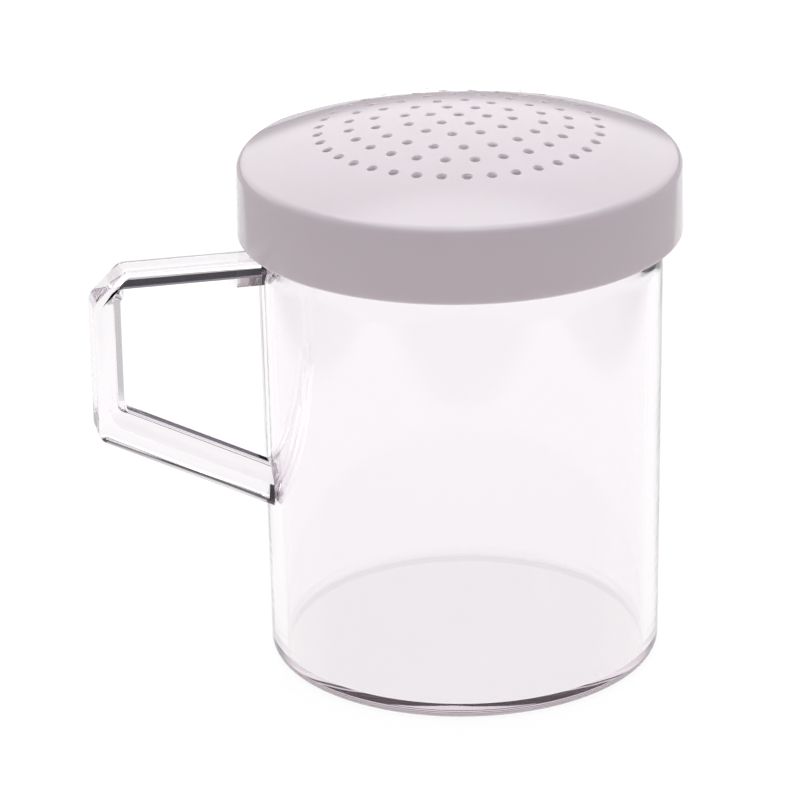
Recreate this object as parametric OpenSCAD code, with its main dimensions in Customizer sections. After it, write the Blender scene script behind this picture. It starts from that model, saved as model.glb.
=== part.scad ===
// Clear spice shaker with a moulded grip and a domed, perforated press-on lid.
// Millimetres, +Z up. The origin is the centre of the cup's underside, and the grip points along -X.

/* [Cup] */
// Outer radius of the wall at its widest, just under the shoulder
cup_r = 35.3; // [28:0.1:60]
// How much smaller the outer radius is at the foot
cup_draft = 0.65; // [0:0.05:1.5]
// Height of the rim above the underside
cup_h = 90.5; // [75:0.1:160]
// Wall thickness: the outer radius under the shoulder less the bore's radius at the rim
wall_t = 2; // [1.6:0.1:3]
// Wall thickness beside the floor
foot_wall_t = 2.6; // [2:0.1:4]
// Floor thickness
floor_t = 2.5; // [1.5:0.1:6]
// Radius of the outer edge of the foot
foot_round = 2.1; // [0.5:0.1:4]
// Radius of the inner corner between wall and floor
floor_round = 0.5; // [0.2:0.1:3]
// Radius of the two edges of the rim
rim_round = 0.4; // [0.1:0.05:0.5]

/* [Neck] */
// Height of the neck, from the shoulder to the rim
neck_h = 16.5; // [15:0.1:24]
// Width of the small ledge at the shoulder
shoulder_w = 0.4; // [0.1:0.05:0.6]
// Depth of the middle of the snap bead below the rim
bead_drop = 7.1; // [5:0.1:8.5]
// How far the snap bead stands out of the neck
bead_out = 1.15; // [0.6:0.05:1.3]
// Radius of the bead's round section
bead_round = 1; // [0.8:0.05:1.2]

/* [Grip] */
// How far the grip stands out from the cup's wall
grip_out = 29.9; // [22:0.1:45]
// Height of the grip's outer side, from its top face to the underside of its lower corner
grip_h = 30.3; // [26:0.1:42]
// Gap between the lid's lower edge and the grip's top face
grip_gap = 1.8; // [0.5:0.1:10]
// Slope of the lower bar
grip_slope = 27; // [0:0.5:35]
// Width of the bars, across the grip
grip_w = 7.4; // [5:0.1:14]
// Thickness of the top bar
top_bar_t = 5; // [4.2:0.1:8]
// Thickness of the upright bar
upright_t = 4.9; // [4.2:0.1:8]
// Thickness of the lower bar
lower_bar_t = 6.4; // [4.2:0.1:9]
// Length that the slanted upper corner takes off each bar
grip_corner = 5.5; // [3:0.1:9]
// Height of the bevels along the grip's outer edges, seen from the side
grip_bevel = 0.95; // [0.3:0.05:1.2]
// Height of the bevels along the finger opening, seen from the side
finger_bevel = 2.75; // [1:0.05:3]
// How much taller the bevels are than they are deep across the grip
bevel_slope = 1.45; // [1:0.05:2]
// Radius of the grip's outer corners
grip_round = 2; // [0.5:0.1:2.5]
// Radius of the corners of the finger opening
finger_round = 0.8; // [0.3:0.1:2]

/* [Lid] */
// Depth of the skirt's lower edge below the cup's rim
skirt_drop = 12.1; // [11.8:0.1:20]
// Thickness of the skirt
skirt_t = 1.8; // [1.2:0.1:3]
// How much wider the skirt is at its lower edge
lid_draft = 0.15; // [0:0.05:0.6]
// Radius of the edge between skirt and dome
lid_round = 2; // [0.5:0.1:2.5]
// Height of the dome's edge above the cup's rim
edge_rise = 1; // [0.8:0.1:4]
// How far the middle of the dome rises above its edge
dome_bulge = 7.5; // [3:0.1:14]
// Thickness of the dome outside the field of holes
dome_t = 1.8; // [1.2:0.1:2.5]
// Depth of the plug ring that enters the cup's mouth
plug_depth = 4; // [2:0.1:8]
// Thickness of the plug ring
plug_t = 1.4; // [1:0.1:2.5]

/* [Holes] */
// Diameter of each hole
hole_d = 1.6; // [0.8:0.1:3]
// Distance between one ring of holes and the next
ring_pitch = 4.9; // [3.5:0.1:9]
// How much further in every second ring lies
even_ring_in = 0.4; // [0:0.1:0.8]
// Holes in the outermost ring; each ring inside it has six more than the one before
last_ring_holes = 36; // [12:1:42]
// Turn of the whole pattern about the lid's axis, in degrees
hole_turn = -20; // [-30:1:30]
// Thickness of the dome across the field of holes
web_t = 0.9; // [0.6:0.1:1.2]
// Width of the thin margin outside the last ring of holes
web_margin = 2.5; // [1:0.1:3]

/* [Clearances] */
// Gap between the plug ring and the cup's bore, on the radius
plug_gap = 0.3; // [0.1:0.05:0.6]
// Gap between the two snap beads as they pass each other, on the radius
snap_gap = 0.15; // [0.05:0.05:0.3]
// Gap between the cup's snap bead and the inside of the skirt, on the radius
skirt_gap = 0.75; // [0.4:0.05:1.2]

/* [Hidden] */
$fn = 96;
cut = 1;                                        // how far cutting shapes run past the faces they cut
foot_r = cup_r - cup_draft;
neck_r = cup_r - shoulder_w;
shoulder_z = cup_h - neck_h;
mouth_r = cup_r - wall_t;
floor_r = foot_r - foot_wall_t;
bead_z = cup_h - bead_drop;
bead_r = neck_r + bead_out;

skirt_z = cup_h - skirt_drop;
skirt_in_r = bead_r + skirt_gap;
lid_r = skirt_in_r + skirt_t;
lid_top = cup_h + edge_rise + dome_bulge;
dome_r = (pow(lid_r, 2) + pow(dome_bulge, 2)) / (2 * dome_bulge);
dome_z = lid_top - dome_r;                      // height of the dome's centre
corner_r = lid_r - lid_round;
corner_z = dome_z + sqrt(pow(dome_r - lid_round, 2) - pow(corner_r, 2));
plug_r = mouth_r - plug_gap;
plug_in_r = plug_r - plug_t;
plug_z = cup_h - plug_depth;
lid_bead_r = bead_r + snap_gap;                 // inner radius of the skirt's bead
lid_bead_z = bead_z - 2 * bead_round - snap_gap;
rings = floor((plug_in_r - web_margin) / ring_pitch);
web_r = ring_pitch * rings + web_margin;

grip_reach = cup_r + grip_out;
grip_root = foot_r - 5;                         // the bars start inside the wall, and the cup's outside trims them
grip_top = skirt_z - grip_gap;
finger_reach = grip_reach - upright_t;
finger_root = grip_root - 5;                    // the finger opening runs on past the roots of the bars
flare_over = 0.25;                              // how far a flare runs on at both ends

// Inner radius of the cup's tapered bore at height z
function bore_r(z) = floor_r + (mouth_r - floor_r) * (z - floor_t) / (cup_h - floor_t);

// Height of the lower bar's underside at radius r
function low_z(r) = grip_top - grip_h - tan(grip_slope) * (grip_reach - r);

// Radius of a ring of holes, counted from the middle outwards
function ring_r(ring) = ring * ring_pitch - (ring > 0 && ring % 2 == 0 ? even_ring_in : 0);

// Number of holes in a ring, counted from the middle outwards
function ring_holes(ring) = ring == 0 ? 1 : ring == rings ? last_ring_holes : 6 * ring;

// Half section of the cup with its bore filled in
module cup_outside() {
    square([foot_r - foot_round, foot_round]);
    translate([foot_r - foot_round, foot_round])
        circle(foot_round);
    polygon([
        [0, foot_round],
        [foot_r, foot_round],
        [cup_r, shoulder_z],
        [neck_r, shoulder_z + shoulder_w],
        [neck_r, cup_h - rim_round],
        [0, cup_h - rim_round],
    ]);
    square([neck_r - rim_round, cup_h]);
    translate([neck_r - rim_round, cup_h - rim_round])
        circle(rim_round);
    translate([bead_r - bead_round, bead_z])
        circle(bead_round);
}

// Half section of the cup's bore, wider at the rim by the rounded inner edge
module cup_bore() {
    floor_corner_z = floor_t + floor_round;
    translate([0, floor_t])
        square([floor_r - floor_round, floor_round]);
    translate([floor_r - floor_round, floor_corner_z])
        circle(floor_round);
    polygon([
        [0, floor_corner_z],
        [floor_r, floor_corner_z],
        [bore_r(cup_h + cut), cup_h + cut],
        [0, cup_h + cut],
    ]);
    difference() {
        translate([mouth_r - cut, cup_h - rim_round])
            square([cut + rim_round, rim_round + cut]);
        translate([mouth_r + rim_round, cup_h - rim_round])
            circle(rim_round);
    }
}

module cup() {
    color([0.90, 0.88, 0.92, 0.4])
        rotate_extrude()
            difference() {
                cup_outside();
                cup_bore();
            }
}

// Side outline of the grip with the finger opening filled in
module grip_outline() {
    offset(r = grip_round, $fn = 32)
        offset(delta = -grip_round)
            polygon([
                [-grip_root, grip_top],
                [grip_corner - grip_reach, grip_top],
                [-grip_reach, grip_top - grip_corner],
                [-grip_reach, low_z(grip_reach)],
                [-grip_root, low_z(grip_root)],
            ]);
}

// Side outline of the finger opening, which runs on into the cup
module finger_outline() {
    lower_rise = lower_bar_t / cos(grip_slope);
    offset(r = finger_round, $fn = 32)
        offset(delta = -finger_round)
            polygon([
                [-finger_root, grip_top - top_bar_t],
                [-finger_reach, grip_top - top_bar_t],
                [-finger_reach, low_z(finger_reach) + lower_rise],
                [-finger_root, low_z(finger_root) + lower_rise],
            ]);
}

// Stands a side outline up in the XZ plane, w thick and centred on y
module across(w, y = 0) {
    translate([0, y, 0])
        rotate([90, 0, 0])
            linear_extrude(w, center = true)
                children();
}

// A slab of the grip's outline with every outer edge bevelled
module grip_slab() {
    hull() {
        across(grip_w - 2 * grip_bevel / bevel_slope)
            grip_outline();
        across(grip_w)
            offset(delta = -grip_bevel)
                grip_outline();
    }
}

// One flared mouth of the finger opening, at y = grip_w / 2 or, with a side of -1, at -grip_w / 2
module finger_flare(side) {
    thin = 0.01;
    hull() {
        across(thin, side * (grip_w / 2 - (finger_bevel + flare_over) / bevel_slope))
            offset(delta = -flare_over)
                finger_outline();
        across(thin, side * (grip_w / 2 + flare_over / bevel_slope))
            offset(delta = finger_bevel + flare_over)
                finger_outline();
    }
}

module grip() {
    color([0.86, 0.84, 0.90, 0.6])
        difference() {
            grip_slab();
            across(grip_w + cut)
                finger_outline();
            finger_flare(1);
            finger_flare(-1);
            rotate_extrude()
                cup_outside();
        }
}

// Half section of the lid with its inside filled in
module lid_outside() {
    lean = (dome_r + cut) / (dome_r - lid_round);
    intersection() {
        translate([0, dome_z])
            circle(dome_r, $fn = 720);
        polygon([
            [0, skirt_z],
            [0, lid_top + cut],
            [corner_r * lean, lid_top + cut],
            [corner_r * lean, dome_z + (corner_z - dome_z) * lean],
            [corner_r, corner_z],
            [corner_r, skirt_z],
        ]);
    }
    translate([corner_r, corner_z])
        circle(lid_round);
    polygon([
        [0, skirt_z],
        [lid_r + lid_draft, skirt_z],
        [lid_r, corner_z],
        [0, corner_z],
    ]);
}

// Half section of the underside of the dome, t below its outside and r wide
module dome_inside(t, r) {
    intersection() {
        translate([0, dome_z])
            circle(dome_r - t, $fn = 720);
        square([r, lid_top]);
    }
}

// Half section of the space inside the lid, around and within the plug ring
module lid_inside() {
    dome_inside(dome_t, plug_in_r);
    dome_inside(web_t, web_r);
    translate([0, skirt_z - cut])
        square([skirt_in_r, plug_z - skirt_z + cut]);
    translate([plug_r, skirt_z - cut])
        square([skirt_in_r - plug_r, skirt_drop + cut]);
}

// The rings of straight holes through the dome
module holes() {
    for (ring = [0 : rings])
        for (i = [1 : ring_holes(ring)])
            rotate(hole_turn + 360 * i / ring_holes(ring))
                translate([ring_r(ring), 0, cup_h])
                    cylinder(d = hole_d, h = lid_top - cup_h + cut, $fn = 24);
}

// Half section of the snap bead inside the skirt
module lid_bead() {
    intersection() {
        translate([lid_bead_r + bead_round, lid_bead_z])
            circle(bead_round);
        square([skirt_in_r + skirt_t / 2, cup_h]);
    }
}

module lid() {
    color([0.82, 0.80, 0.82])
        difference() {
            rotate_extrude() {
                difference() {
                    lid_outside();
                    lid_inside();
                }
                lid_bead();
            }
            holes();
        }
}

cup();
grip();
lid();
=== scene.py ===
from math import atan2, cos, pi, radians, sin, sqrt, tan

import bmesh
import bpy
from mathutils import Matrix, Vector


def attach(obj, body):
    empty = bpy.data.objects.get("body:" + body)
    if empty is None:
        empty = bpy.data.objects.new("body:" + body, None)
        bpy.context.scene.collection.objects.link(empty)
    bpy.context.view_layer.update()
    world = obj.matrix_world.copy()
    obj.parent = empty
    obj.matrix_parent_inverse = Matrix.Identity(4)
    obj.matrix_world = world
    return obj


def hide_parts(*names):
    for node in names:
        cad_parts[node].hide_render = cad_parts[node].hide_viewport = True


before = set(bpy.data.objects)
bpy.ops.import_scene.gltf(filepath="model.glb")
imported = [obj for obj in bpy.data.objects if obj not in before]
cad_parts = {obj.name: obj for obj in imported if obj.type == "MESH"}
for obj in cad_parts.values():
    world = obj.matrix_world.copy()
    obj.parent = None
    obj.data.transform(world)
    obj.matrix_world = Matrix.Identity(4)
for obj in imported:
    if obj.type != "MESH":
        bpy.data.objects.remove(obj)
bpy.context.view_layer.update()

mm = 0.001
weld = 0.0005                 # mm, points closer than this become one
tiny = 1e-7                   # metres, places closer than this count as the same
roundSteps = 6                # segments in each small rounded corner of an outline
creaseAngle = 32              # degrees, past which an edge stays sharp to the eye
white = "#FFFFFF"


def srgb(hexColour):
    # sRGB hex to the linear RGBA that the shaders take
    parts = [int(hexColour[i:i + 2], 16) / 255 for i in (1, 3, 5)]
    return tuple(c / 12.92 if c <= 0.04045 else ((c + 0.055) / 1.055) ** 2.4 for c in parts) + (1.0,)


def addNode(tree, kind, feeds=(), **settings):
    # One node. Settings go to the node itself, or else to its socket of that name. Feeds are its sockets
    # in order or by name or number, and each is a link from another node's socket or a plain value.
    node = tree.nodes.new(kind)
    for name, value in settings.items():
        if hasattr(node, name):
            setattr(node, name, value)
    for name, value in settings.items():
        if not hasattr(node, name):
            node.inputs[name.replace("_", " ")].default_value = value
    for socket, source in feeds.items() if isinstance(feeds, dict) else enumerate(feeds):
        if isinstance(source, bpy.types.NodeSocket):
            tree.links.new(source, node.inputs[socket])
        else:
            node.inputs[socket].default_value = source
    return node


def newMaterial(name):
    material = bpy.data.materials.new(name)
    material.use_nodes = True
    material.node_tree.nodes.clear()
    return material, material.node_tree


def meshObject(name, bm):
    bmesh.ops.recalc_face_normals(bm, faces=bm.faces)
    mesh = bpy.data.meshes.new(name)
    bm.to_mesh(mesh)
    bm.free()
    piece = bpy.data.objects.new(name, mesh)
    bpy.context.scene.collection.objects.link(piece)
    return piece


def bakeModifiers(piece):
    # Puts what the modifiers make into the mesh itself
    graph = bpy.context.evaluated_depsgraph_get()
    made = bpy.data.meshes.new_from_object(piece.evaluated_get(graph))
    piece.modifiers.clear()
    piece.data = made


def joinSolids(piece, other, operation):
    cut = piece.modifiers.new(operation.lower(), "BOOLEAN")
    cut.operation = operation
    cut.solver = "MANIFOLD"
    cut.object = other
    bakeModifiers(piece)
    bpy.data.objects.remove(other)


def smoothByArea(piece):
    # Flats stay flat, narrow rounded edges carry the bend, and true corners stay sharp, as on a moulded part
    piece.data.shade_smooth()
    piece.data.set_sharp_from_angle(angle=radians(creaseAngle))
    weighted = piece.modifiers.new("weighted", "WEIGHTED_NORMAL")
    weighted.weight = 100
    weighted.mode = "FACE_AREA_WITH_ANGLE"
    weighted.keep_sharp = True
    bakeModifiers(piece)


def dress(piece, material):
    # The joins leave empty material slots behind, so a piece starts again with one
    piece.data.materials.clear()
    piece.data.materials.append(material)
    for face in piece.data.polygons:
        face.material_index = 0


def outline(bm, corners):
    # A closed wire in the XZ plane from (x, z, rounding) corners in millimetres
    verts = [bm.verts.new((x * mm, 0, z * mm)) for x, z, _ in corners]
    for a, b in zip(verts, verts[1:] + verts[:1]):
        bm.edges.new((a, b))
    bm.verts.ensure_lookup_table()
    for size in sorted({r for _, _, r in corners if r}):
        picked = [v for v, corner in zip(verts, corners) if corner[2] == size]
        bmesh.ops.bevel(bm, geom=picked, offset=size * mm, segments=roundSteps, profile=0.5,
                        affect="VERTICES", material=-1)


def spinRound(bm, steps):
    # Turns the wire in the XZ plane into a closed round solid about the Z axis
    bmesh.ops.spin(bm, geom=bm.verts[:] + bm.edges[:], cent=(0, 0, 0), axis=(0, 0, 1),
                   angle=2 * pi, steps=steps, use_merge=True)
    bmesh.ops.remove_doubles(bm, verts=bm.verts, dist=weld * mm)


print("frame loaded")

# The clear cup and its grip are one moulding. Sizes are in millimetres.

cupSize = {
    "wallRadius": 35.3,       # outside, just under the shoulder
    "footRadius": 34.65,
    "footRound": 2.1,
    "boreAtRim": 33.3,
    "boreAtFloor": 32.05,
    "floor": 2.5,
    "floorRound": 0.2,        # fillet between bore and floor
    "shoulder": 74.0,
    "shoulderRise": 4.0,      # soft slope from the wall in to the neck
    "shoulderRound": 1.2,
    "neckRadius": 34.9,
    "bead": 83.4,             # the middle of the snap bead
    "beadHalf": 1.0,
    "beadOut": 1.15,
    "beadRoot": 0.12,         # rounding where the bead leaves the neck
    "beadTip": 0.99,          # and at its crest
    "height": 90.5,
    "rimRound": 0.4,
    "steps": 256,
}

gripSize = {
    "reach": 65.2,            # from the cup's axis to the upright's outside
    "root": 34.2,             # inside the wall, where the bars become part of it
    "top": 76.6,
    "height": 30.3,
    "slope": 27.0,            # degrees, of the lower bar
    "width": 7.4,
    "topBar": 5.0,
    "upright": 4.9,
    "lowerBar": 6.4,
    "corner": 5.5,            # what the slanted upper corner takes off each bar
    "cornerRound": 0.9,
    "heelRound": 1.3,         # outside, where the upright meets the lower bar
    "innerRound": 0.8,
    "outerBevel": 1.1,        # along the bars' outer edges, seen from the side
    "outerSteepness": 1.9,    # how much wider a bevel is from the side than across the bars
    "innerBevel": 2.75,       # along the finger opening
    "innerSteepness": 1.45,
    "edgeRound": 0.22,
    "edgeSteps": 3,
    "edgeAngle": 35,          # degrees, edges past this are rounded
    "margin": 0.5,            # in telling the opening's edges from the outer ones
}


def makeCup(c):
    beadFoot, beadTop = c["bead"] - c["beadHalf"], c["bead"] + c["beadHalf"]
    bm = bmesh.new()
    outline(bm, [
        (0, 0, 0),
        (c["footRadius"], 0, c["footRound"]),
        (c["wallRadius"], c["shoulder"], c["shoulderRound"]),
        (c["neckRadius"], c["shoulder"] + c["shoulderRise"], c["shoulderRound"]),
        (c["neckRadius"], beadFoot, c["beadRoot"]),
        (c["neckRadius"] + c["beadOut"], beadFoot, c["beadTip"]),
        (c["neckRadius"] + c["beadOut"], beadTop, c["beadTip"]),
        (c["neckRadius"], beadTop, c["beadRoot"]),
        (c["neckRadius"], c["height"], c["rimRound"]),
        (c["boreAtRim"], c["height"], c["rimRound"]),
        (c["boreAtFloor"], c["floor"], c["floorRound"]),
        (0, c["floor"], 0),
    ])
    spinRound(bm, c["steps"])
    return meshObject("cup_moulding", bm)


def makeGrip(g):
    def underside(x):
        # Height of the lower bar's underside at a distance x from the cup's axis
        return g["top"] - g["height"] - tan(radians(g["slope"])) * (g["reach"] - x)

    rise = g["lowerBar"] / cos(radians(g["slope"]))
    inner = g["reach"] - g["upright"]
    bm = bmesh.new()
    outline(bm, [
        (-g["root"], g["top"], 0),
        (g["corner"] - g["reach"], g["top"], g["cornerRound"]),
        (-g["reach"], g["top"] - g["corner"], g["cornerRound"]),
        (-g["reach"], underside(g["reach"]), g["heelRound"]),
        (-g["root"], underside(g["root"]), 0),
        (-g["root"], underside(g["root"]) + rise, 0),
        (-inner, underside(inner) + rise, g["innerRound"]),
        (-inner, g["top"] - g["topBar"], g["innerRound"]),
        (-g["root"], g["top"] - g["topBar"], 0),
    ])
    bmesh.ops.holes_fill(bm, edges=bm.edges)
    stretched = g["width"] * g["innerSteepness"]
    bmesh.ops.translate(bm, verts=bm.verts, vec=(0, -stretched / 2 * mm, 0))
    side = bmesh.ops.extrude_face_region(bm, geom=bm.faces[:])
    moved = [v for v in side["geom"] if isinstance(v, bmesh.types.BMVert)]
    bmesh.ops.translate(bm, verts=moved, vec=(0, stretched * mm, 0))
    bmesh.ops.recalc_face_normals(bm, faces=bm.faces)

    def atRoot(edge):
        return all(abs(v.co.x + g["root"] * mm) < tiny for v in edge.verts)

    def aroundOpening(edge):
        middle = (edge.verts[0].co + edge.verts[1].co) / 2 / mm
        low = underside(-middle.x) + rise - g["margin"]
        high = g["top"] - g["topBar"] + g["margin"]
        return middle.x > -inner - 2 * g["margin"] and low < middle.z < high

    # The bars are stretched sideways while they are bevelled, which makes the bevels steeper than 45 degrees
    longEdges = [e for e in bm.edges if abs(e.verts[0].co.y - e.verts[1].co.y) < tiny and not atRoot(e)]
    inside = [e for e in longEdges if aroundOpening(e)]
    outside = [e for e in longEdges if not aroundOpening(e)]
    for edges, size, now, later in ((inside, g["innerBevel"], g["innerSteepness"], g["outerSteepness"]),
                                    (outside, g["outerBevel"], g["outerSteepness"], 1.0)):
        bmesh.ops.bevel(bm, geom=edges, offset=size * mm, segments=1, profile=0.5,
                        affect="EDGES", material=-1, offset_type="OFFSET")
        bmesh.ops.scale(bm, verts=bm.verts, vec=(1, later / now, 1))
    soft = [e for e in bm.edges if e.calc_face_angle(0) > radians(g["edgeAngle"]) and not atRoot(e)]
    bmesh.ops.bevel(bm, geom=soft, offset=g["edgeRound"] * mm, segments=g["edgeSteps"], profile=0.5,
                    affect="EDGES", material=-1, offset_type="OFFSET")
    return meshObject("grip", bm)


cupMoulding = makeCup(cupSize)
joinSolids(cupMoulding, makeGrip(gripSize), "UNION")
smoothByArea(cupMoulding)
print("cup and grip made", len(cupMoulding.data.polygons))

lidSize = {
    "radius": 38.6,
    "top": 99.0,
    "bulge": 7.5,             # how far the dome rises over its own edge
    "edgeRound": 2.0,
    "edgeSteps": 10,
    "skirtFoot": 78.4,
    "footRadius": 38.75,
    "skirtRound": 0.35,       # at the skirt's foot, outside
    "mouthRound": 0.25,       # and inside
    "inside": 36.8,
    "insideRound": 0.12,      # the inner corners
    "bead": 81.25,            # the middle of the inner bead
    "beadHalf": 0.9,
    "beadFlat": 0.4,          # half the height of its crest
    "beadOut": 0.6,
    "beadRound": 0.35,
    "rim": 90.5,              # where the cup's rim seats
    "plugOuter": 33.0,
    "plugInner": 31.6,
    "plugFoot": 86.5,
    "plugRound": 0.35,
    "dome": 1.8,              # thickness
    "web": 0.9,               # thickness under the holes
    "webRadius": 27.0,
    "steps": 240,
    "domeSteps": 30,
    "ledgeSteps": 4,          # under the dome, between plug and web
}

holePattern = {
    "diameter": 1.6,
    "rings": [0, 4.9, 9.4, 14.7, 19.2, 24.5],
    "counts": [1, 6, 12, 18, 24, 36],
    "turn": -20.0,            # degrees
    "flare": 0.2,             # soft edge where a hole meets the dome
    "flareDepth": 1.6,        # times as deep as it is wide
    "under": 3.0,             # how far a cutter reaches under the dome
    "over": 0.6,              # and over it
    "sides": 24,
}


def makeLid(s):
    domeRadius = (s["radius"] ** 2 + s["bulge"] ** 2) / (2 * s["bulge"])
    domeCentre = s["top"] - domeRadius

    def onDome(r, depth=0.0):
        return domeCentre + sqrt((domeRadius - depth) ** 2 - r * r)

    def domeArc(r0, r1, depth, steps):
        radii = [r0 + (r1 - r0) * i / steps for i in range(steps + 1)]
        return [(r, onDome(r, depth), 0) for r in radii]

    # The rounded top edge runs from where it leaves the dome to where it stands upright
    cornerRadius = s["radius"] - s["edgeRound"]
    cornerHeight = onDome(cornerRadius, s["edgeRound"])
    tangent = atan2(cornerHeight - domeCentre, cornerRadius)
    edgeTurns = [tangent * (1 - i / s["edgeSteps"]) for i in range(1, s["edgeSteps"] + 1)]
    edgeArc = [(cornerRadius + s["edgeRound"] * cos(a), cornerHeight + s["edgeRound"] * sin(a), 0)
               for a in edgeTurns]
    beadRadius = s["inside"] - s["beadOut"]
    bm = bmesh.new()
    outline(bm, domeArc(0, domeRadius * cos(tangent), 0, s["domeSteps"]) + edgeArc + [
        (s["footRadius"], s["skirtFoot"], s["skirtRound"]),
        (s["inside"], s["skirtFoot"], s["mouthRound"]),
        (s["inside"], s["bead"] - s["beadHalf"], s["insideRound"]),
        (beadRadius, s["bead"] - s["beadFlat"], s["beadRound"]),
        (beadRadius, s["bead"] + s["beadFlat"], s["beadRound"]),
        (s["inside"], s["bead"] + s["beadHalf"], s["insideRound"]),
        (s["inside"], s["rim"], s["insideRound"]),
        (s["plugOuter"], s["rim"], s["insideRound"]),
        (s["plugOuter"], s["plugFoot"], s["plugRound"]),
        (s["plugInner"], s["plugFoot"], s["plugRound"]),
    ] + domeArc(s["plugInner"], s["webRadius"], s["dome"], s["ledgeSteps"])
      + domeArc(s["webRadius"], 0, s["web"], s["domeSteps"]))
    spinRound(bm, s["steps"])
    return meshObject("perforated_lid", bm), onDome


def makeHoleCutters(h, onDome):
    # One cutter with a flared mouth at the origin, copied to each hole
    radius, flare, mouth = h["diameter"] / 2, h["flare"], h["flareDepth"]
    profile = [(0, -h["under"]), (radius, -h["under"]), (radius, -mouth * flare)]
    profile += [(radius + flare * (1 - cos(a)), flare * mouth * (sin(a) - 1))
                for a in (radians(30), radians(60))]
    profile += [(radius + flare, 0.0), (radius + flare, h["over"]), (0, h["over"])]
    bm = bmesh.new()
    verts = [bm.verts.new((x * mm, 0, z * mm)) for x, z in profile]
    for pair in zip(verts, verts[1:]):
        bm.edges.new(pair)
    spinRound(bm, h["sides"])
    bmesh.ops.recalc_face_normals(bm, faces=bm.faces)
    one = bpy.data.meshes.new("one_cutter")
    bm.to_mesh(one)
    bm.clear()
    for out, count in zip(h["rings"], h["counts"]):
        for i in range(count):
            turn = radians(h["turn"]) + 2 * pi * i / count
            place = Matrix.Translation(Vector((out * cos(turn), out * sin(turn), onDome(out))) * mm)
            one.transform(place)
            bm.from_mesh(one)
            one.transform(place.inverted())
    bpy.data.meshes.remove(one)
    return meshObject("hole_cutters", bm)


lid, domeHeight = makeLid(lidSize)
joinSolids(lid, makeHoleCutters(holePattern, domeHeight), "DIFFERENCE")
smoothByArea(lid)
print("lid made", len(lid.data.polygons))

# Lengths in the two plastics are in millimetres

polycarbonate = {
    "colour": "#FBF9FA",
    "depthColour": "#F6EEF3",     # the cast that a long way through the plastic leaves
    "depthDensity": 25.0,
    "ior": 1.585,
    "polish": 0.0,                # roughness, and what handling adds to it in places
    "haze": 0.03,
    "hazeSize": 18.0,
    "hazeSpan": (0.45, 0.75),
    "flowLength": 9.0,            # between the crests of the flow waves
    "flowHeight": 0.012,
    "sinkLength": 5.0,            # waves where the thick bars of the grip shrank
    "sinkHeight": 0.02,
    "sinkSpan": (-35.0, -38.0),   # from the wall's outside into the grip
}

lidPlastic = {
    "colour": "#E3D8DB",
    "paler": "#E7DDE1",           # in the slow drift of the grey over the moulding
    "cloudSize": 14.0,
    "ior": 1.49,
    "gloss": 0.04,                # roughness where the tool polished it best
    "satin": 0.09,                # and least
    "glossSpan": (0.3, 0.7),
    "peelSize": 1.6,              # ripple of the polished tool
    "peelHeight": 0.0025,
    "grainSize": 0.35,            # drawn coarser than the real grain so that it shows
    "grainHeight": 0.0008,
    "soak": 0.8,                  # share of the light that goes in and comes out again
    "soakDepth": 1.2,
    "soakReach": (1.0, 0.9, 0.95),
}


def clearPolycarbonate(p):
    # Injection-moulded clear polycarbonate: sharp and glossy, with slow waves in what is seen through it,
    # stronger in the thick bars, and a lilac cast that deepens with the way through the plastic
    material, tree = newMaterial("clear_moulded_polycarbonate")
    place = addNode(tree, "ShaderNodeTexCoord").outputs["Object"]
    noise = {}
    for name, size, detail, roughness in (("flow", p["flowLength"], 1.0, 0.35),
                                          ("sink", p["sinkLength"], 0.0, 0.3),
                                          ("haze", p["hazeSize"], 3.0, 0.6)):
        noise[name] = addNode(tree, "ShaderNodeTexNoise", {"Vector": place}, Scale=1 / (size * mm),
                              Detail=detail, Roughness=roughness).outputs["Fac"]
    split = addNode(tree, "ShaderNodeSeparateXYZ", {"Vector": place})
    wallSide, gripSide = p["sinkSpan"]
    inGrip = addNode(tree, "ShaderNodeMapRange", (split.outputs["X"], wallSide * mm, gripSide * mm, 0.0, 1.0),
                     interpolation_type="SMOOTHSTEP")
    sunken = addNode(tree, "ShaderNodeMath", (inGrip.outputs["Result"], noise["sink"]), operation="MULTIPLY")
    flowBump = addNode(tree, "ShaderNodeBump", {"Height": noise["flow"]}, Strength=1.0,
                       Distance=p["flowHeight"] * mm)
    sinkBump = addNode(tree, "ShaderNodeBump",
                       {"Height": sunken.outputs["Value"], "Normal": flowBump.outputs["Normal"]},
                       Strength=1.0, Distance=p["sinkHeight"] * mm)
    haze = addNode(tree, "ShaderNodeMapRange", (noise["haze"], *p["hazeSpan"], p["polish"], p["haze"]))
    shader = addNode(tree, "ShaderNodeBsdfPrincipled",
                     {"Roughness": haze.outputs["Result"], "Normal": sinkBump.outputs["Normal"]},
                     Base_Color=srgb(p["colour"]), IOR=p["ior"], Transmission_Weight=1.0)
    depth = addNode(tree, "ShaderNodeVolumeAbsorption", Color=srgb(p["depthColour"]),
                    Density=p["depthDensity"])
    addNode(tree, "ShaderNodeOutputMaterial",
            {"Surface": shader.outputs["BSDF"], "Volume": depth.outputs["Volume"]})
    return material


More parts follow.
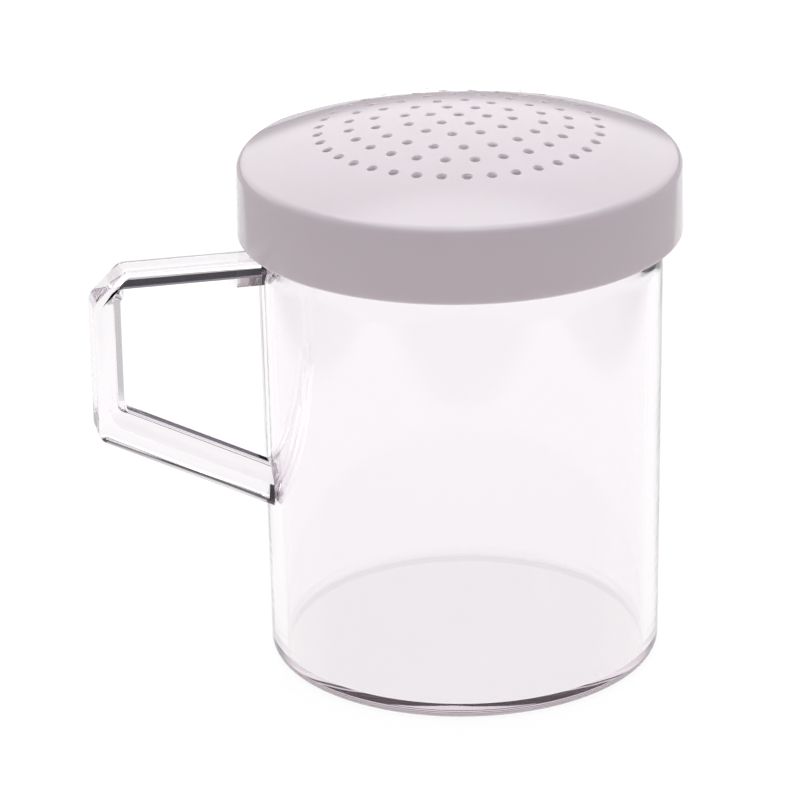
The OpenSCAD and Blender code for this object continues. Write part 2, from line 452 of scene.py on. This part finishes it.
def mouldedLidPlastic(p):
    # Injection-moulded polypropylene in light grey: glossy off a polished tool, with a faint ripple and fine
    # grain, slow clouds in the grey, and light that soaks a little way into thin edges
    material, tree = newMaterial("grey_moulded_polypropylene")
    place = addNode(tree, "ShaderNodeTexCoord").outputs["Object"]
    noise = {}
    for name, size, detail in (("cloud", p["cloudSize"], 3.0), ("peel", p["peelSize"], 1.0),
                               ("grain", p["grainSize"], 2.0)):
        noise[name] = addNode(tree, "ShaderNodeTexNoise", {"Vector": place}, Scale=1 / (size * mm),
                              Detail=detail, Roughness=0.5).outputs["Fac"]
    tint = addNode(tree, "ShaderNodeMix",
                   {"Factor": noise["cloud"], 6: srgb(p["colour"]), 7: srgb(p["paler"])}, data_type="RGBA")
    gloss = addNode(tree, "ShaderNodeMapRange", (noise["cloud"], *p["glossSpan"], p["gloss"], p["satin"]))
    peelBump = addNode(tree, "ShaderNodeBump", {"Height": noise["peel"]}, Distance=p["peelHeight"] * mm)
    grainBump = addNode(tree, "ShaderNodeBump",
                        {"Height": noise["grain"], "Normal": peelBump.outputs["Normal"]},
                        Distance=p["grainHeight"] * mm)
    shader = addNode(tree, "ShaderNodeBsdfPrincipled",
                     {"Base Color": tint.outputs[2], "Roughness": gloss.outputs["Result"],
                      "Normal": grainBump.outputs["Normal"]},
                     IOR=p["ior"], Subsurface_Weight=p["soak"], Subsurface_Scale=p["soakDepth"] * mm,
                     Subsurface_Radius=p["soakReach"])
    addNode(tree, "ShaderNodeOutputMaterial", {"Surface": shader.outputs["BSDF"]})
    return material


dress(cupMoulding, clearPolycarbonate(polycarbonate))
dress(lid, mouldedLidPlastic(lidPlastic))
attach(cupMoulding, "cup")
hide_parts("cup", "grip")
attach(lid, "lid")
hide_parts("lid")
print("materials set")

# The table stands a little turned, and a glowing sheet lies on it under and behind the cup. This is painted
# light: the floor gives off light of its own, no lamp, which lights the cup and lid from below and keeps
# their shadow faint. Sizes are in metres.

tableLook = {
    "facing": 12.2,               # degrees that the table is turned to face the viewer
    "side": 6.0,
    "airGap": 0.0001,             # under the cup, so that its underside mirrors as it does on a real table
    "colour": "#5C5A5C",          # what the table gives back of the studio's light
    "roughness": 0.9,
    "glow": 0.93,                 # painted light that the sheet gives off of itself, no lamp
    "offSheet": 0.47,             # glow left beside it
    "half": 0.172,                # half the sheet's width
    "farHalf": 0.06,              # and far behind the cup
    "narrowing": (0.5, 0.8),      # where it gets narrower
    "edge": 0.012,                # softness of its edge
    "front": -0.17,               # where it ends before the cup
    "farGlow": 1.6,               # painted light: the extra glow its middle has on top far behind, which the lid's dome mirrors as its white highlight
    "farSpan": (0.26, 0.34),
    "farSides": (0.05, 0.09),
}

# Levels and colours of the light from each side, with the span of a direction over which they set in

studioLook = {
    "back": 0.9,                  # the lit wall behind
    "room": 0.2,                  # the dim room at the sides and in front
    "backSpan": (0.1, 0.5),
    "gap": 0.05,                  # the dark gap between table and wall
    "gapSpan": (0.05, 0.2),
    "overhead": 2.0,              # the softbox above
    "overheadSpan": (0.74, 0.88),
    "lamp": 14.0,                 # the small lamp straight above
    "lampSpan": (0.9994, 0.9997),
    "roomTint": "#E8DAF4",
    "overheadTint": "#F8FEFE",
    "tintSpan": (0.1, 0.6),       # levels between the room's tint and the wall's white
}


def turned(tree, source, angle):
    # Side, depth and height as the table faces them
    spun = addNode(tree, "ShaderNodeVectorRotate", {"Vector": source}, rotation_type="Z_AXIS",
                   Angle=radians(angle))
    return addNode(tree, "ShaderNodeSeparateXYZ", {"Vector": spun.outputs["Vector"]}).outputs


def makeFloor(look):
    bm = bmesh.new()
    bmesh.ops.create_grid(bm, x_segments=1, y_segments=1, size=look["side"] / 2)
    bmesh.ops.translate(bm, verts=bm.verts, vec=(0, 0, -look["airGap"]))
    floor = meshObject("floor", bm)
    # The floor's material glows of itself, no lamp: painted light that brightens the floor and lights the cup
    # and lid from below
    material, tree = newMaterial("glowing_floor")
    place = addNode(tree, "ShaderNodeTexCoord").outputs["Object"]
    table = turned(tree, place, look["facing"])
    aside = addNode(tree, "ShaderNodeMath", (table["X"],), operation="ABSOLUTE").outputs["Value"]

    # How far a point lies outside the sheet, beside it or before it, and the sheet's own glow from that
    half = addNode(tree, "ShaderNodeMapRange",
                   (table["Y"], *look["narrowing"], look["half"], look["farHalf"]),
                   interpolation_type="SMOOTHSTEP")
    beside = addNode(tree, "ShaderNodeMath", (aside, half.outputs["Result"]), operation="SUBTRACT")
    before = addNode(tree, "ShaderNodeMath", (look["front"], table["Y"]), operation="SUBTRACT")
    beyond = addNode(tree, "ShaderNodeMath", (beside.outputs["Value"], before.outputs["Value"]),
                     operation="MAXIMUM")
    sheet = addNode(tree, "ShaderNodeMapRange",
                    (beyond.outputs["Value"], -look["edge"], look["edge"], look["glow"], look["offSheet"]),
                    interpolation_type="SMOOTHSTEP")

    # The brighter glowing middle far behind, painted light, no lamp, whose glow the lid's dome mirrors as a
    # highlight
    farDepth = addNode(tree, "ShaderNodeMapRange", (table["Y"], *look["farSpan"], 0.0, look["farGlow"]),
                       interpolation_type="SMOOTHSTEP")
    farMiddle = addNode(tree, "ShaderNodeMapRange", (aside, *look["farSides"], 1.0, 0.0),
                        interpolation_type="SMOOTHSTEP")
    far = addNode(tree, "ShaderNodeMath", (farDepth.outputs["Result"], farMiddle.outputs["Result"]),
                  operation="MULTIPLY")
    glow = addNode(tree, "ShaderNodeMath", (sheet.outputs["Result"], far.outputs["Value"]), operation="ADD")
    shader = addNode(tree, "ShaderNodeBsdfPrincipled", {"Emission Strength": glow.outputs["Value"]},
                     Base_Color=srgb(look["colour"]), Roughness=look["roughness"], Specular_IOR_Level=0.0,
                     Emission_Color=srgb(white))
    addNode(tree, "ShaderNodeOutputMaterial", {"Surface": shader.outputs["BSDF"]})
    dress(floor, material)


def makeWorld(look, facing):
    world = bpy.data.worlds.new("studio")
    bpy.context.scene.world = world
    world.use_nodes = True
    tree = world.node_tree
    tree.nodes.clear()
    way = turned(tree, addNode(tree, "ShaderNodeTexCoord").outputs["Generated"], facing)
    level = {}
    for name, direction, span, low, high in (
            ("wall", way["Y"], look["backSpan"], 0.0, look["back"]),
            ("room", way["Y"], look["backSpan"], look["room"], 0.0),
            ("gap", way["Z"], look["gapSpan"], look["gap"], 1.0),
            ("above", way["Z"], look["overheadSpan"], 0.0, look["overhead"]),
            ("aboveShare", way["Z"], look["overheadSpan"], 0.0, 1.0),
            ("lamp", way["Z"], look["lampSpan"], 0.0, look["lamp"])):
        level[name] = addNode(tree, "ShaderNodeMapRange", (direction, *span, low, high),
                              interpolation_type="SMOOTHSTEP").outputs["Result"]
    back = addNode(tree, "ShaderNodeMath", (level["wall"], level["gap"]), operation="MULTIPLY")
    around = addNode(tree, "ShaderNodeMath", (back.outputs["Value"], level["room"]),
                     operation="ADD").outputs["Value"]
    total = around
    for name in ("above", "lamp"):
        total = addNode(tree, "ShaderNodeMath", (total, level[name]), operation="ADD").outputs["Value"]

    # Colours: the room's tint gives way to white towards the wall, and overhead to the softbox's own
    whiter = addNode(tree, "ShaderNodeMapRange", (around, *look["tintSpan"], 0.0, 1.0),
                     interpolation_type="SMOOTHSTEP")
    sides = addNode(tree, "ShaderNodeMix",
                    {"Factor": whiter.outputs["Result"], 6: srgb(look["roomTint"]), 7: srgb(white)},
                    data_type="RGBA")
    colour = addNode(tree, "ShaderNodeMix",
                     {"Factor": level["aboveShare"], 6: sides.outputs[2], 7: srgb(look["overheadTint"])},
                     data_type="RGBA")
    light = addNode(tree, "ShaderNodeBackground", {"Strength": total, "Color": colour.outputs[2]})
    addNode(tree, "ShaderNodeOutputWorld", {"Surface": light.outputs["Background"]})


viewpoint = {
    "place": (-165.76, -717.99, 341.70),   # mm
    "aim": (-10.72, 2.31, 46.20),          # mm
    "roll": -1.014,                        # degrees
    "lens": 202.39,
    "sensor": 36.0,
    "nearest": 50.0,                       # mm
}


def makeCamera(v):
    data = bpy.data.cameras.new("camera")
    data.lens = v["lens"]
    data.sensor_width = v["sensor"]
    data.sensor_fit = "HORIZONTAL"
    data.clip_start = v["nearest"] * mm
    camera = bpy.data.objects.new("camera", data)
    place = Vector(v["place"]) * mm
    towards = (Vector(v["aim"]) * mm - place).to_track_quat("-Z", "Y").to_matrix()
    rolled = towards @ Matrix.Rotation(radians(v["roll"]), 3, "Z")
    camera.matrix_world = Matrix.Translation(place) @ rolled.to_4x4()
    bpy.context.scene.collection.objects.link(camera)
    bpy.context.scene.camera = camera


makeFloor(tableLook)
makeWorld(studioLook, tableLook["facing"])
makeCamera(viewpoint)

bounces = 48                  # light turns round many times in the clear base and bars
scene = bpy.context.scene
scene.view_settings.view_transform = "Standard"
scene.cycles.max_bounces = bounces
scene.cycles.transmission_bounces = bounces
scene.cycles.glossy_bounces = bounces
print("stage set")
